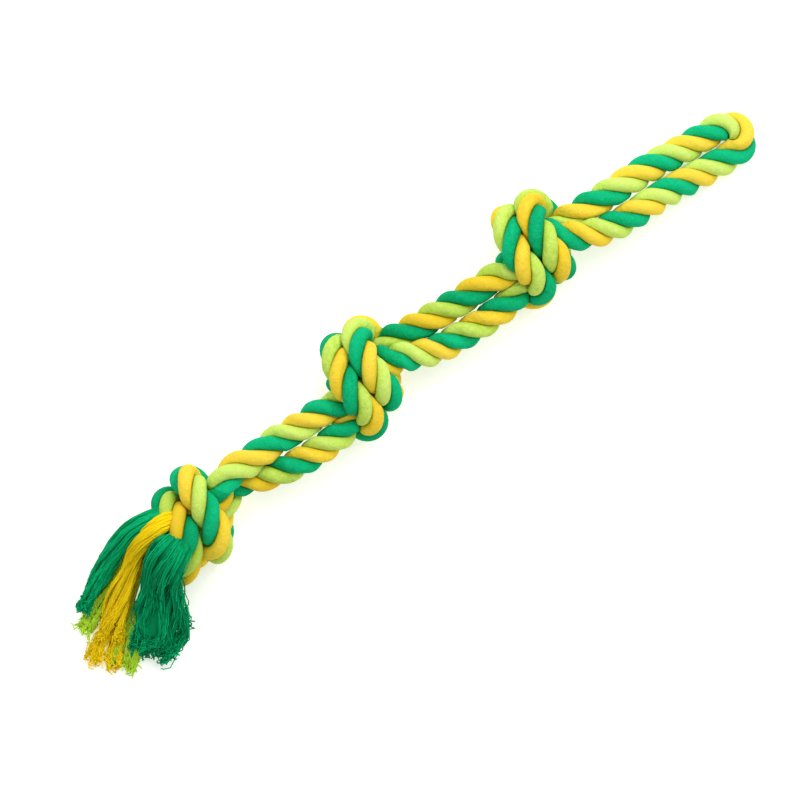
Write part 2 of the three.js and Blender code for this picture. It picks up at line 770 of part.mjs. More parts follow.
// The tassel's bunches of yarn
function bunch(rowShares) {
  const rows = rowShares.map((shares) => {
    const row = times(shares, tasselLength);
    const middle = [tailEndPoint[0] - hingeGap + row[0], tasselLineY + row[1], row[2]];
    return [...middle, ...shares.slice(3).map((share) => share * tasselLength - bunchGap / 2)];
  });
  const rings = smoothThrough(rows, bunchRings).map((row, i, all) => {
    const ahead = all[Math.min(i + 1, all.length - 1)];
    const behind = all[Math.max(i - 1, 0)];
    const along = i === 0 ? times(alongToy, -1) : unit(minus(ahead, behind));
    const across = unit(cross([0, 0, 1], along));
    const up = cross(along, across);
    const [, , , halfWidth, halfDepth] = row;
    const ring = [];
    for (let k = 0; k < bunchSides; k += 1) {
      const angle = (2 * Math.PI * k) / bunchSides;
      const wide = plus(row.slice(0, 3), across, Math.cos(angle) * halfWidth);
      ring.push(plus(wide, up, Math.sin(angle) * halfDepth));
    }
    return ring;
  });
  return closedTube(rings);
}

// The whole toy
const toy = new THREE.Group();
function add(name, geometry, strand) {
  const mesh = new THREE.Mesh(geometry, new THREE.MeshStandardMaterial(strand.material));
  mesh.name = name;
  toy.add(mesh);
}

const legSections = [
  { name: 'tail_knot', tailSide: tailEnd, handleSide: hinges.tailSwing },
  { name: 'lower_link', tailSide: hinges.tailSwing, handleSide: hinges.lowerFold },
  { name: 'middle_knot', tailSide: hinges.lowerFold, handleSide: hinges.upperFold },
  { name: 'upper_link', tailSide: hinges.upperFold, handleSide: hinges.topSwing },
  { name: 'top_knot', tailSide: hinges.topSwing, handleSide: hinges.handleFold },
  { name: 'handle_link', tailSide: hinges.handleFold, handleSide: hinges.handleSwing },
];
legSections.forEach(({ name, tailSide, handleSide }) => {
  strands.forEach((strand) => {
    const tailwards = (leg) => ({ hinge: tailSide, leg, handleSide: true });
    const handlewards = (leg) => ({ hinge: handleSide, leg, handleSide: false });
    const first = strandBetween(strand.turnShare, tailwards(0), handlewards(0));
    const second = strandBetween(strand.turnShare, handlewards(1), tailwards(1));
    add(`${name}_${strand.name}_leg_1`, flattened(first), strand);
    add(`${name}_${strand.name}_leg_2`, flattened(second), strand);
  });
});
strands.forEach((strand) => {
  const start = { hinge: hinges.handleSwing, leg: 0, handleSide: true };
  const finish = { hinge: hinges.handleSwing, leg: 1, handleSide: true };
  add(`handle_${strand.name}_strand`, flattened(strandBetween(strand.turnShare, start, finish)), strand);
});
bunches.forEach(({ name, colour, rowShares }) => {
  add(name, bunch(rowShares), strands.find((strand) => strand.name === colour));
});

toy.position.set(-originX, -originY, 0);
const part = new THREE.Group();
part.add(toy);

export default part;
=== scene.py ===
# %% [markdown]
# # A knotted rope dog toy
#
# The real toy is one length of three-strand cotton rope. It is doubled, so that its middle makes the
# loop handle, and the two legs together are tied in three overhand knots. Behind the last knot the
# six strand ends are combed out into a tassel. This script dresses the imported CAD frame: it loads the
# frame, lays soft strands where the CAD strands lie, combs out the tassel and sets up the studio.

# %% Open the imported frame
import json
import math

import bmesh
import bpy
import numpy as np
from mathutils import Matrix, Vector


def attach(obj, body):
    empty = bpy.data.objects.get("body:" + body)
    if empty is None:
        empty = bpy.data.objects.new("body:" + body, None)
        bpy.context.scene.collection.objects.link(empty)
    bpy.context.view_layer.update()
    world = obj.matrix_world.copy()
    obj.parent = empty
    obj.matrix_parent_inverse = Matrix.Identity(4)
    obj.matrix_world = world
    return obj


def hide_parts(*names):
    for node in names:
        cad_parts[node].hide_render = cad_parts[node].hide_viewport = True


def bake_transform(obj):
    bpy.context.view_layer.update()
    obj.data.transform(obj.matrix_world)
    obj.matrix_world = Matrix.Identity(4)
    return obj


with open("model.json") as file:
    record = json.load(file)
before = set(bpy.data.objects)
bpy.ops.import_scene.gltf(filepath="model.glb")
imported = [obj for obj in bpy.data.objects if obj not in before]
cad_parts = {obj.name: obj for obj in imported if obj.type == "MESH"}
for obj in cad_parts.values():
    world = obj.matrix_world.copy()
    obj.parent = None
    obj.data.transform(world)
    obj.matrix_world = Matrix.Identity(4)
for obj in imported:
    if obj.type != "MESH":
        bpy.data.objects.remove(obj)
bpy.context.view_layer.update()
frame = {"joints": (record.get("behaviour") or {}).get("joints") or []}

# %% [markdown]
# ## The camera, the floor and the light
#
# The photograph looks straight down on the toy, which lies slanted across the picture on white.
# A long lens far above gives that square view with almost no perspective. The camera could be tilted
# into place by eye, but a straight-down camera needs only its height, the point below it and its roll.

# %% The camera straight above
PIXELS = 800
METRES_PER_PIXEL = 0.000705
CAMERA_HEIGHT = 2.5
SENSOR = 0.036
ROLL_DEG = 38.7
AIM = Vector((-0.0149, -0.0141, 0.035))

camera_data = bpy.data.cameras.new("camera")
camera_data.sensor_width = SENSOR * 1000
camera_data.lens = 1000 * SENSOR * CAMERA_HEIGHT / (PIXELS * METRES_PER_PIXEL)
camera = bpy.data.objects.new("camera", camera_data)
camera.location = AIM + Vector((0, 0, CAMERA_HEIGHT))
camera.rotation_euler = (0, 0, -math.radians(ROLL_DEG))
bpy.context.collection.objects.link(camera)
bpy.context.scene.camera = camera
bpy.context.scene.view_settings.view_transform = "Standard"
print("lens in millimetres:", round(camera_data.lens))

# %% [markdown]
# ## Shader maths as plain expressions
#
# Cotton is felted yarn: its colour and its surface both vary with fine noise. Such maths can be
# wired by hand, node by node, but it reads better as Python. A small class wraps a socket, so that
# `lines * 0.8` adds its own Math node, and one method makes every other kind of node.

# %% A socket that does arithmetic
class Socket:
    """A node's output that Python's operators work on, each adding a Math node."""

    def __init__(self, paint, link):
        self.paint = paint
        self.link = link

    def math(self, operation, *values):
        return self.paint.node("ShaderNodeMath", {"operation": operation}, dict(enumerate(values)))

    def __add__(self, other):
        return self.math("ADD", self, other)

    def __sub__(self, other):
        return self.math("SUBTRACT", self, other)

    def __mul__(self, other):
        return self.math("MULTIPLY", self, other)


class Paint:
    """A new material and the one method that adds nodes to it."""

    def __init__(self, name):
        self.material = bpy.data.materials.new(name)
        self.material.use_nodes = True
        self.tree = self.material.node_tree
        self.tree.nodes.clear()

    def node(self, kind, settings, inputs, output=0):
        made = self.tree.nodes.new(kind)
        for setting, value in settings.items():
            setattr(made, setting, value)
        for socket, value in inputs.items():
            if isinstance(value, Socket):
                self.tree.links.new(value.link, made.inputs[socket])
            else:
                made.inputs[socket].default_value = value
        return Socket(self, made.outputs[output]) if made.outputs else made

    def surface(self, shader):
        """Sends the shader to the material's output."""
        self.node("ShaderNodeOutputMaterial", {}, {"Surface": shader})
        return self.material

    def noise(self, place, scale, detail=2.0):
        return self.node(
            "ShaderNodeTexNoise", {}, {"Vector": place, "Scale": scale, "Detail": detail}
        )

    def mix(self, share, first, second):
        """Two colours, mixed by a share from 0 to 1."""
        return self.node(
            "ShaderNodeMix", {"data_type": "RGBA"}, {0: share, 6: first, 7: second}, output=2
        )

    def masked(self, value, low, high):
        """The value stretched so that low becomes 0 and high becomes 1."""
        limits = {"From Min": low, "From Max": high}
        return self.node("ShaderNodeMapRange", {"clamp": True}, {"Value": value, **limits})


# %% [markdown]
# ## The floor and the lamps
#
# The photograph stands on plain white with almost no shadow. A large white floor under a bright even
# sky gives that, and it glows a little, so that it stays white where the toy shades it. One big soft
# lamp to the upper right models the round strands.

# %% A white floor, a bright sky and one soft lamp
FLOOR_HALF = 3.0
FLOOR_WHITE = (0.93, 0.93, 0.93, 1)
FLOOR_GLOW = 0.45
SKY_STRENGTH = 0.5
LAMP_SIDE = 1.6
LAMP_POWER = 27
LAMP_PLACE = Vector((0.7, 0.5, 1.5))

floor_bm = bmesh.new()
bmesh.ops.create_grid(floor_bm, x_segments=1, y_segments=1, size=FLOOR_HALF)
floor_mesh = bpy.data.meshes.new("studio_floor")
floor_bm.to_mesh(floor_mesh)
floor_bm.free()
floor = bpy.data.objects.new("studio_floor", floor_mesh)
bpy.context.collection.objects.link(floor)
floor_paint = Paint("studio_white")
floor_shader = floor_paint.node(
    "ShaderNodeBsdfPrincipled",
    {},
    {
        "Base Color": FLOOR_WHITE,
        "Roughness": 0.9,
        "Emission Color": FLOOR_WHITE,
        "Emission Strength": FLOOR_GLOW,
    },
)
floor_mesh.materials.append(floor_paint.surface(floor_shader))

world = bpy.data.worlds.new("studio_sky")
world.use_nodes = True
world.node_tree.nodes["Background"].inputs["Color"].default_value = (1, 1, 1, 1)
world.node_tree.nodes["Background"].inputs["Strength"].default_value = SKY_STRENGTH
bpy.context.scene.world = world

lamp_data = bpy.data.lights.new("soft_lamp", "AREA")
lamp_data.shape = "SQUARE"
lamp_data.size = LAMP_SIDE
lamp_data.energy = LAMP_POWER
lamp = bpy.data.objects.new("soft_lamp", lamp_data)
lamp.location = LAMP_PLACE
lamp.rotation_euler = (-LAMP_PLACE).to_track_quat("-Z", "Y").to_euler()
bpy.context.collection.objects.link(lamp)
print("lamp above the floor:", round(LAMP_PLACE.z, 2), "m")

# %% [markdown]
# ## The way of the rope
#
# The rope is 2.2 m long and never leaves itself: from the tassel the first leg runs through the three
# knots to the handle's bight, and the second leg runs back. An overhand knot in a doubled rope could
# be drawn turn by turn, but a drawn knot is either too loose or cuts through itself. Here a rough
# knot is given as a list of points and then drawn tight, as hands do it: the ropes pull
# short while they push each other apart. The sizes are those of the part's source, except that the
# gap between two passes is smaller here, because cotton that touches shows no gap.

# %% Sizes of the rope, in metres
ORIGIN = np.array([0.183314, -0.012495, 0])
ROPE_DIAMETER = 0.023
LAY_PITCH = 0.046
LEG_SPACING = 0.0206
ROUTE_STEP = 0.0015
TAIL_KNOT_X = -0.004
MIDDLE_KNOT_X = 0.1565
TOP_KNOT_X = 0.307
SWAY = [
    [-0.06, -0.007],
    [-0.01, -0.007],
    [0.024, -0.005],
    [0.038, 0.003],
    [0.05, 0.0025],
    [0.06, -0.001],
    [0.08, -0.0048],
    [0.1, -0.0077],
    [0.125, -0.008],
    [0.145, -0.006],
    [0.172, 0],
    [0.188, 0.002],
    [0.2, -0.0015],
    [0.21, -0.0043],
    [0.23, -0.008],
    [0.255, -0.01],
    [0.282, -0.01],
    [0.3, -0.008],
    [0.32, -0.006],
    [0.335, -0.008],
    [0.347, -0.0115],
    [0.365, -0.015],
    [0.385, -0.017],
    [0.402, -0.0185],
    [0.42, -0.021],
    [0.438, -0.0242],
    [0.455, -0.0265],
    [0.47, -0.028],
    [0.49, -0.029],
]
KNOT_ROW_UNIT = 0.0188
KNOT_PASS_SPACING = 0.016
KNOT_PASS_GAP = 0.0002
FLOOR_CUT = 0.0025
HANDLE_ROUTE = [
    [0.385, 0, 0.037],
    [0.402, 0, 0.0305],
    [0.42, 0, 0.0225],
    [0.438, 0, 0.0155],
    [0.454, 0, 0.012],
    [0.466, 0, 0.011],
]
BIGHT_RADIUS = 0.0103
BIGHT_STEPS = 9

# The middle of the pair and the direction from rope to rope, in rope diameters
KNOT_PASS_SHARE = KNOT_PASS_SPACING / KNOT_ROW_UNIT
KNOT_ROUTE_SHARES = np.array([
    [3.2, 0, 0, 0, -1, 0],
    [2.4, 0, 0.1, 0, -1, 0.1],
    [1.55, 0.05, 0.2, 0, -0.9, 0.4],
    [0.95, 0.25, 0.1, 0, -0.3, 0.9],
    [0.45, 0.55, -0.2, 0, 0.4, 0.9],
    [0.1, 0.55, -0.8, -0.2, 0.6, 0.9],
    [-0.3, 0.05, -1.2, -0.6, 0.5, 0.6],
    [-0.4, -0.65, -1.05, -0.9, 0.5, -0.1],
    [-0.15, -1.15, -0.4, -1, 0.1, -0.2],
    [0.05, -1.15, 0.45, -1, 0, 0],
    [-0.05, -0.6, 1.2, -1, 0.1, 0],
    [-0.2, 0.15, 1.35, -1, 0.1, 0],
    [-0.15, 0.95, 1.25, -1, 0.3, 0.1],
    [0.25, 1.65, 0.75, -1, 0.5, 0.2],
    [0.7, 1.8, -0.2, -1, 0.3, -0.5],
    [0.75, 1.15, -0.95, -0.9, 0.5, -0.3],
    [0.4, 0.3, -1.2, -0.6, 0.5, 0.6],
    [0, -0.4, -0.9, -0.2, 0.5, 0.9],
    [-0.45, -0.45, -0.2, 0, 0.7, 0.7],
    [-0.9, -0.2, 0.15, 0, 0.9, 0.5],
    [-1.5, 0, 0.25, 0, 1, 0.1],
    [-2.4, 0, 0.1, 0, 1, 0],
    [-3.2, 0, 0, 0, 1, 0],
])
ROLLED_ROW_SHARES = np.array([
    [4.6, 0, 0, 0, -1, 0],
    [2.4, 0, 0.1, 0, -0.3, -1],
    [1.55, 0.05, 0.2, 0, 0, -1],
])
TURNED_ROWS = KNOT_ROUTE_SHARES[len(ROLLED_ROW_SHARES):] * [1, 1, 1, -1, -1, -1]
TAIL_KNOT_ROUTE_SHARES = np.concatenate((ROLLED_ROW_SHARES, TURNED_ROWS))
KNOT_BULK_SHARE = 1.7
LEFT_TURN_END_SHARE = 0.8
TAIL_KNOT_LEAN_SHARE = 0.28
TAIL_KNOT_TILT_SHARE = 0.25
LINE_SMOOTHING = 3
NODES_PER_KNOT = 90
SETTLE_ROUNDS = 60
SETTLE_PULL = 0.35
PUSH_ROUNDS = 4
NEAR_SHARE = 1.55
print("rows in the knot's route:", len(KNOT_ROUTE_SHARES))


# %% Curves through listed points
def unit(vectors):
    return vectors / np.linalg.norm(vectors, axis=-1, keepdims=True)


def dot(first, second):
    return (first * second).sum(-1, keepdims=True)


def directions(points):
    """The direction along a line at each of its points."""
    ahead = np.concatenate((points[1:], points[-1:]))
    behind = np.concatenate((points[:1], points[:-1]))
    return unit(ahead - behind)


def lengths_along(points):
    steps = np.linalg.norm(np.diff(points, axis=0), axis=1)
    return np.concatenate(([0], np.cumsum(steps)))


def evenly(points, count):
    """The same line with that many points, all the same distance apart."""
    lengths = lengths_along(points)
    at = np.linspace(0, lengths[-1], count)
    return np.stack([np.interp(at, lengths, column) for column in points.T], axis=1)


def smooth_through(rows, count):
    """A soft curve through rows of values, whose first three are a place."""
    rows = np.array(rows, float)
    steps = np.sqrt(np.linalg.norm(np.diff(rows[:, :3], axis=0), axis=1))
    marks = np.concatenate(([0], np.cumsum(steps)))
    chords = np.diff(rows, axis=0) / np.diff(marks)[:, None]
    slopes = np.concatenate((chords[:1], chords))
    share = ((marks[1:-1] - marks[:-2]) / (marks[2:] - marks[:-2]))[:, None]
    slopes[1:-1] = chords[:-1] * (1 - share) + chords[1:] * share
    at = np.linspace(0, marks[-1], count)
    k = np.clip(np.searchsorted(marks, at) - 1, 0, len(rows) - 2)
    span = (marks[k + 1] - marks[k])[:, None]
    f = (at - marks[k])[:, None] / span
    lead = f * f * (3 - 2 * f)
    bow = span * f * (1 - f) * (slopes[k] * (1 - f) - slopes[k + 1] * f)
    return rows[k] * (1 - lead) + rows[k + 1] * lead + bow


print("curve helpers ready")


# %% Draw the knot tight
def pushed_apart(ropes, near_nodes):
    """The two ropes of a knot, moved apart wherever they press into each other."""
    nodes = ropes.reshape(-1, 3)
    index = np.arange(len(nodes))
    apart = nodes[:, None] - nodes[None]
    distance = np.linalg.norm(apart, axis=2)
    same_rope = (index[:, None] < NODES_PER_KNOT) == (index[None] < NODES_PER_KNOT)
    neighbours = same_rope & (np.abs(index[:, None] - index[None]) < near_nodes)
    close = (distance < KNOT_PASS_SHARE) & ~neighbours
    share = np.where(close, KNOT_PASS_SHARE / np.where(close, distance, 1) - 1, 0)
    touches = np.maximum(close.sum(1), 1)
    moves = (apart * share[..., None]).sum(1) / (2 * np.sqrt(touches))[:, None]
    moves = moves.reshape(ropes.shape)
    moves[:, [0, -1]] = 0
    return ropes + moves


def settled_pair(rows, lean_share=0, tilt_share=0):
    """The two ropes of a knot, drawn tight until their passes lie against each other."""
    fine = smooth_through(rows, NODES_PER_KNOT * PUSH_ROUNDS)
    middle, offset = fine[:, :3], fine[:, 3:]
    along = directions(middle)
    across = unit(offset - along * dot(offset, along))
    bulk = np.maximum(0, 1 - (middle[:, 0] / rows[0, 0]) ** 2)
    leaning = middle.copy()
    leaning[:, 0] += lean_share * bulk * np.minimum(middle[:, 1], 0)
    leaning[:, 1] -= tilt_share * np.minimum(middle[:, 0], 0)
    half_offset = LEG_SPACING / KNOT_ROW_UNIT / 2
    pair = [leaning + side * half_offset * across for side in (1, -1)]
    ropes = np.array([evenly(rope, NODES_PER_KNOT) for rope in pair])
    for _ in range(SETTLE_ROUNDS):
        between = (ropes[:, :-2] + ropes[:, 2:]) / 2
        ropes[:, 1:-1] += SETTLE_PULL * (between - ropes[:, 1:-1])
        span = lengths_along(ropes[0])[-1] / (NODES_PER_KNOT - 1)
        for _ in range(PUSH_ROUNDS):
            ropes = pushed_apart(ropes, NEAR_SHARE * KNOT_PASS_SHARE / span)
        ropes = np.array([evenly(rope, NODES_PER_KNOT) for rope in ropes])
    return ropes


def shaped(pair, lift, skew, narrow, bow=0, open_left=0, drop_left=0, sink=0):
    """A knot lifted, skewed, narrowed below and bowed in front, its left turn opened and dropped."""
    result = pair.copy()
    bulk = np.maximum(0, 1 - (pair[..., 0] / KNOT_BULK_SHARE) ** 2)
    left = np.minimum(pair[..., 0] - LEFT_TURN_END_SHARE, 0) * np.maximum(pair[..., 1], 0)
    skewed = skew * pair[..., 0] * np.tanh(pair[..., 1])
    result[..., 0] *= 1 + narrow * bulk * np.minimum(pair[..., 1], 0)
    result[..., 0] += bulk * (bow * np.maximum(pair[..., 2], 0) + open_left * left)
    result[..., 1] += bulk * (lift + skewed + drop_left * left)
    result[..., 2] += bulk * sink * np.minimum(pair[..., 2], 0)
    return result


straight_pair = settled_pair(KNOT_ROUTE_SHARES)
leaning_pair = settled_pair(TAIL_KNOT_ROUTE_SHARES, TAIL_KNOT_LEAN_SHARE, TAIL_KNOT_TILT_SHARE)
tail_pair = shaped(
    leaning_pair, lift=-0.2, skew=0.9, narrow=0.2, bow=0.55, open_left=0.1, drop_left=0.2, sink=0.04
)
middle_pair = shaped(straight_pair, lift=0.02, skew=0.5, narrow=0.25)
top_pair = shaped(straight_pair, lift=0, skew=0.6, narrow=0.3)
lowest_share = straight_pair[..., 2].min()
LEGS_LINE_Z = ROPE_DIAMETER / 2 - lowest_share * KNOT_ROW_UNIT - FLOOR_CUT
print("the legs run", round(LEGS_LINE_Z * 1000, 2), "mm above the floor")


# %% The whole rope's middle line
def sway_at(x):
    """How far the line midway between the two legs lies to one side."""
    curve = smooth_through([[*point, 0] for point in SWAY], len(SWAY) * BIGHT_STEPS)
    return np.interp(x, curve[:, 0], curve[:, 1])


def placed(pair, knot_x, which):
    return pair[which] * KNOT_ROW_UNIT + [knot_x, 0, LEGS_LINE_Z]


def handle_leg(side):
    start = [TOP_KNOT_X + KNOT_ROUTE_SHARES[0, 0] * KNOT_ROW_UNIT, 0, LEGS_LINE_Z]
    middle = smooth_through([start, *HANDLE_ROUTE], len(HANDLE_ROUTE) * BIGHT_STEPS)
    across = unit(np.cross([0, 0, 1], directions(middle)))
    share = np.linspace(0, 1, len(middle))[:, None]
    half = LEG_SPACING / 2 * (1 - share) + BIGHT_RADIUS * share
    return middle + across * side * half


def bight(upper_end, lower_end):
    middle = (upper_end + lower_end) / 2
    to_upper = upper_end - middle
    ahead = unit(np.cross(to_upper, [0, 0, 1])) * np.linalg.norm(to_upper)
    angles = math.pi * np.arange(1, BIGHT_STEPS)[:, None] / BIGHT_STEPS
    return middle + to_upper * np.cos(angles) + ahead * np.sin(angles)


def whole_rope():
    upper, lower = handle_leg(1), handle_leg(-1)
    first_leg = [
        placed(tail_pair, TAIL_KNOT_X, 1)[::-1],
        placed(middle_pair, MIDDLE_KNOT_X, 0)[::-1],
        placed(top_pair, TOP_KNOT_X, 1)[::-1],
        upper[1:],
    ]
    second_leg = [
        lower[1:][::-1],
        placed(top_pair, TOP_KNOT_X, 0),
        placed(middle_pair, MIDDLE_KNOT_X, 1),
        placed(tail_pair, TAIL_KNOT_X, 0),
    ]
    rough = np.concatenate((*first_leg, bight(upper[-1], lower[-1]), *second_leg))
    rough[:, 1] += sway_at(rough[:, 0])
    count = round(lengths_along(rough)[-1] / ROUTE_STEP)
    smooth = evenly(rough, count)
    for _ in range(LINE_SMOOTHING):
        smooth[1:-1] = (smooth[:-2] + smooth[2:] + smooth[1:-1] * 2) / 4
    return evenly(smooth, count)


line = whole_rope()
line_length = lengths_along(line)[-1]
line_step = line_length / (len(line) - 1)
halfway = len(line) // 2
print("rope length in metres:", round(line_length, 3), "stations:", len(line))


# %% A frame carried along the line without turning about it
alongs = directions(line)
sides = [np.array([0.0, 1, 0])]
for direction in alongs:
    sides.append(unit(sides[-1] - direction * dot(sides[-1], direction)))
sides = np.array(sides[1:])
rises = np.cross(alongs, sides)
bends = np.gradient(alongs, line_step, axis=0)
print("tightest bend in millimetres:", round(1000 / np.linalg.norm(bends, axis=1).max(), 1))


# %% Room round the line, as far as the next pass of rope
FAN = 48
TINY = 1e-6
INNER_BEND_SHARE = 0.9


def room_fans():
    """How far the rope may reach from each station, in each direction of a fan round the line."""
    near_steps = round(NEAR_SHARE * ROPE_DIAMETER / line_step)
    angles = np.linspace(0, 2 * math.pi, FAN, endpoint=False)
    index = np.arange(len(line))
    fans = np.empty((len(line), FAN))
    for i, point in enumerate(line):
        fan = np.cos(angles)[:, None] * sides[i] + np.sin(angles)[:, None] * rises[i]
        others = line[np.abs(index - i) > near_steps] - point
        away = np.linalg.norm(others, axis=1)
        others, away = others[away < 2 * ROPE_DIAMETER], away[away < 2 * ROPE_DIAMETER]
        facing = np.maximum(fan @ (others / away[:, None]).T, TINY)
        halfway_there = ((away - KNOT_PASS_GAP) / 2 / facing).min(1, initial=ROPE_DIAMETER)
        inside_bend = INNER_BEND_SHARE / np.maximum(fan @ bends[i], TINY)
        fans[i] = np.minimum(np.minimum(halfway_there, inside_bend), ROPE_DIAMETER)
    return fans


rooms = room_fans()
print("tightest squeeze:", round(float(rooms.min() * 1000), 2), "mm from the middle")

# %% [markdown]
# ## The lay of the strands
#
# The three strands turn round the rope once in about 46 mm. A plain helix would do for an unbent
# rope, but here the photograph shows where each colour comes to the top. So the turning is tied to
# the places where the green strand lies uppermost, and it runs evenly between them.

# %% Where the green strand lies on top, measured from the nearest knot or the legs' line
GREEN_TOPS = {
    "handle": {"upper": 0.1073, "lower": 0.1058},
    "upper_link": {"upper": 0.0927, "lower": 0.0654},
    "lower_link": {"upper": 0.0826, "lower": 0.0859},
}
BELLY_GREEN_TOPS = [(-0.0155, -0.0095), (0.0005, 0.0207), (0.008, 0.0205)]
KNOT_REACH = 0.047


def station_near(leg, far_off):
    """The station of leg 0 or 1 where far_off, a value for each station, is least."""
    first, last = (0, halfway) if leg == 0 else (halfway, len(line) - 1)
    return first + int(np.argmin(far_off[first:last + 1]))


def top_angle(station):
    return math.atan2(rises[station, 2], sides[station, 2])


def turn_marks():
    marks = []
    off_plane = np.where(np.abs(line[:, 2] - LEGS_LINE_Z) < LEG_SPACING, 0, line_length)
    stretches = [(TOP_KNOT_X, "handle"), (MIDDLE_KNOT_X, "upper_link"), (TAIL_KNOT_X, "lower_link")]
    for knot_x, name in stretches:
        order = ("lower", "upper") if knot_x == MIDDLE_KNOT_X else ("upper", "lower")
        for leg, which in enumerate(order):
            off = np.abs(line[:, 0] - knot_x - GREEN_TOPS[name][which])
            marks.append(station_near(leg, off + off_plane))
    for knot_x, tops in zip((TAIL_KNOT_X, MIDDLE_KNOT_X, TOP_KNOT_X), BELLY_GREEN_TOPS):
        on_front = line[:, 2] > LEGS_LINE_Z + (KNOT_ROW_UNIT + KNOT_PASS_SPACING) / 2
        here = on_front & (np.abs(line[:, 0] - knot_x) < KNOT_REACH)
        for leg, top in enumerate(tops):
            off = np.abs(line[:, 1] - top)
            marks.append(station_near(leg, off + np.where(here, 0, line_length)))
    return sorted(marks)


def lay_angles():
    marks = turn_marks()
    natural = 2 * math.pi * line_step / LAY_PITCH
    angles = [top_angle(marks[0])]
    for before, mark in zip(marks, marks[1:]):
        expected = angles[-1] + natural * (mark - before)
        turns = round((expected - top_angle(mark)) / (2 * math.pi))
        angles.append(top_angle(mark) + 2 * math.pi * turns)
    ends = [0, len(line) - 1]
    first = angles[0] - natural * marks[0]
    last = angles[-1] + natural * (ends[1] - marks[-1])
    return np.interp(
        np.arange(len(line)), [ends[0], *marks, ends[1]], [first, *angles, last]
    )


lay = lay_angles()
print("the strands make", round((lay[-1] - lay[0]) / (2 * math.pi), 1), "turns")

# %% [markdown]
# ## Cotton
#
# The strands are soft cotton roving: matte, felted on the outside, with fine slanting lines of yarn
# and a speckle of short fibres. The lines follow the strand, so they read its UV map, which holds
# turns round the strand and millimetres along it. The speckle has no direction and reads Object
# coordinates. The colour also holds painted light. Painted shade darkens each strand from its middle
# towards the creases where strands press together, and darkens the grooves between the yarn lines.
# Small light specks are painted glints of fibres catching the light.

# %% The cotton of the strands
# The pale tone is a strand's middle. The full one is reached towards its edges, as painted shade and in
# the cotton's grain. The deep tone is painted shade in the creases and the grooves between yarns, and
# the dark end of the tassel yarn's own tones.
COTTON = {
    "green": {
        "pale": (0.006, 0.55, 0.235, 1), "full": (0.001, 0.3, 0.1, 1), "deep": (0.0, 0.07, 0.016, 1),
        "yarn": (0.004, 0.56, 0.21, 1),
    },
    "lime": {
        "pale": (0.68, 0.88, 0.2, 1), "full": (0.43, 0.65, 0.045, 1), "deep": (0.08, 0.16, 0.004, 1),
        "yarn": (0.58, 0.88, 0.055, 1),
    },
    "yellow": {
        "pale": (0.95, 0.73, 0.08, 1), "full": (0.84, 0.56, 0.01, 1), "deep": (0.3, 0.17, 0.001, 1),
        "yarn": (1.0, 0.74, 0.01, 1),
    },
}
YARNS_AROUND = 20
MILLIMETRES_PER_YARN_TURN = 56
COTTON_ROUGHNESS = 0.95

# The fineness of each noise, in spots to a metre
WOBBLE_SCALE = 260.0
SPECKLE_SCALE = 950.0
PATCH_SCALE = 120.0
GLINT_SCALE = 2400.0

# How much each pattern does: to the colour, and to the surface
WOBBLE = 0.4
# Towards a strand's creases the colour darkens as painted shade, and the line shade paints shade in the
# grooves between yarns.
EDGE_SHADE_SHARE = 0.6
EDGE_SHADE_POWER = 2.0
PATCH_SHARE = 0.04
FUZZ_SHARE = 0.34
LINE_SHARE = 0.42
GLINT_SHARE = 0.6
CREASE_SHADE_SHARE = 0.92
CREASE_SHADE_POWER = 9.0
LINE_SHADE = 0.13
RELIEF_SHARE = 0.8
COTTON_RELIEF = 0.0008


